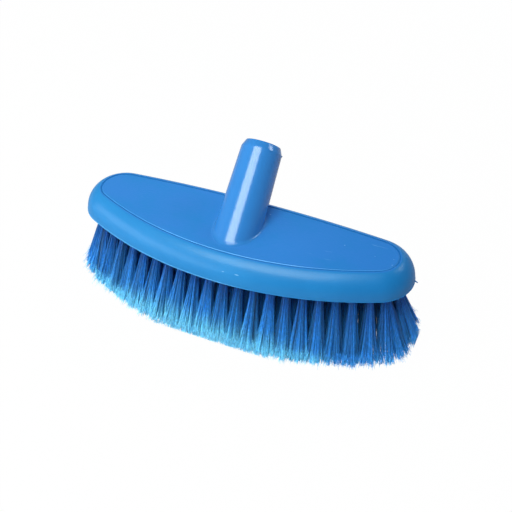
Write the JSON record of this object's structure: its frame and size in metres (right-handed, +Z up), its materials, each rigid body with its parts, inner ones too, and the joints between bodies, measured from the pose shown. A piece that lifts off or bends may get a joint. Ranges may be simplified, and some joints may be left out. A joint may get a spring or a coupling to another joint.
{
  "type": "wash brush",
  "caption": "Wash brush head: an oval moulded block with flared bristle tufts below and a slanted socket on top that takes a long handle.",
  "frame": {"origin": "on the surface that the bristle tips stand on, at the middle of the bounding box", "axes": "+X along the block, +Y to the back, towards which the handle socket leans, +Z up"},
  "size_m": [0.2878, 0.1098, 0.1284],
  "materials": {
    "block": "satin moulded polypropylene",
    "bristle": "crimped soft bristle with split tips"
  },
  "bodies": {
    "root": {"block_with_socket": "block", "outer_tuft_01": "bristle", "outer_tuft_02": "bristle", "outer_tuft_03": "bristle", "outer_tuft_04": "bristle", "outer_tuft_05": "bristle", "outer_tuft_06": "bristle", "outer_tuft_07": "bristle", "outer_tuft_08": "bristle", "outer_tuft_09": "bristle", "outer_tuft_10": "bristle", "outer_tuft_11": "bristle", "outer_tuft_12": "bristle", "outer_tuft_13": "bristle", "outer_tuft_14": "bristle", "outer_tuft_15": "bristle", "outer_tuft_16": "bristle", "outer_tuft_17": "bristle", "outer_tuft_18": "bristle", "outer_tuft_19": "bristle", "outer_tuft_20": "bristle", "outer_tuft_21": "bristle", "outer_tuft_22": "bristle", "outer_tuft_23": "bristle", "outer_tuft_24": "bristle", "outer_tuft_25": "bristle", "outer_tuft_26": "bristle", "outer_tuft_27": "bristle", "outer_tuft_28": "bristle", "outer_tuft_29": "bristle", "outer_tuft_30": "bristle", "outer_tuft_31": "bristle", "outer_tuft_32": "bristle", "outer_tuft_33": "bristle", "outer_tuft_34": "bristle", "outer_tuft_35": "bristle", "outer_tuft_36": "bristle", "outer_tuft_37": "bristle", "outer_tuft_38": "bristle", "outer_tuft_39": "bristle", "outer_tuft_40": "bristle", "outer_tuft_41": "bristle", "outer_tuft_42": "bristle", "outer_tuft_43": "bristle", "outer_tuft_44": "bristle", "second_row_front_tufts": "bristle", "second_row_back_tufts": "bristle", "third_row_front_tufts": "bristle", "third_row_back_tufts": "bristle", "middle_row_tufts": "bristle"}
  },
  "joints": []
}
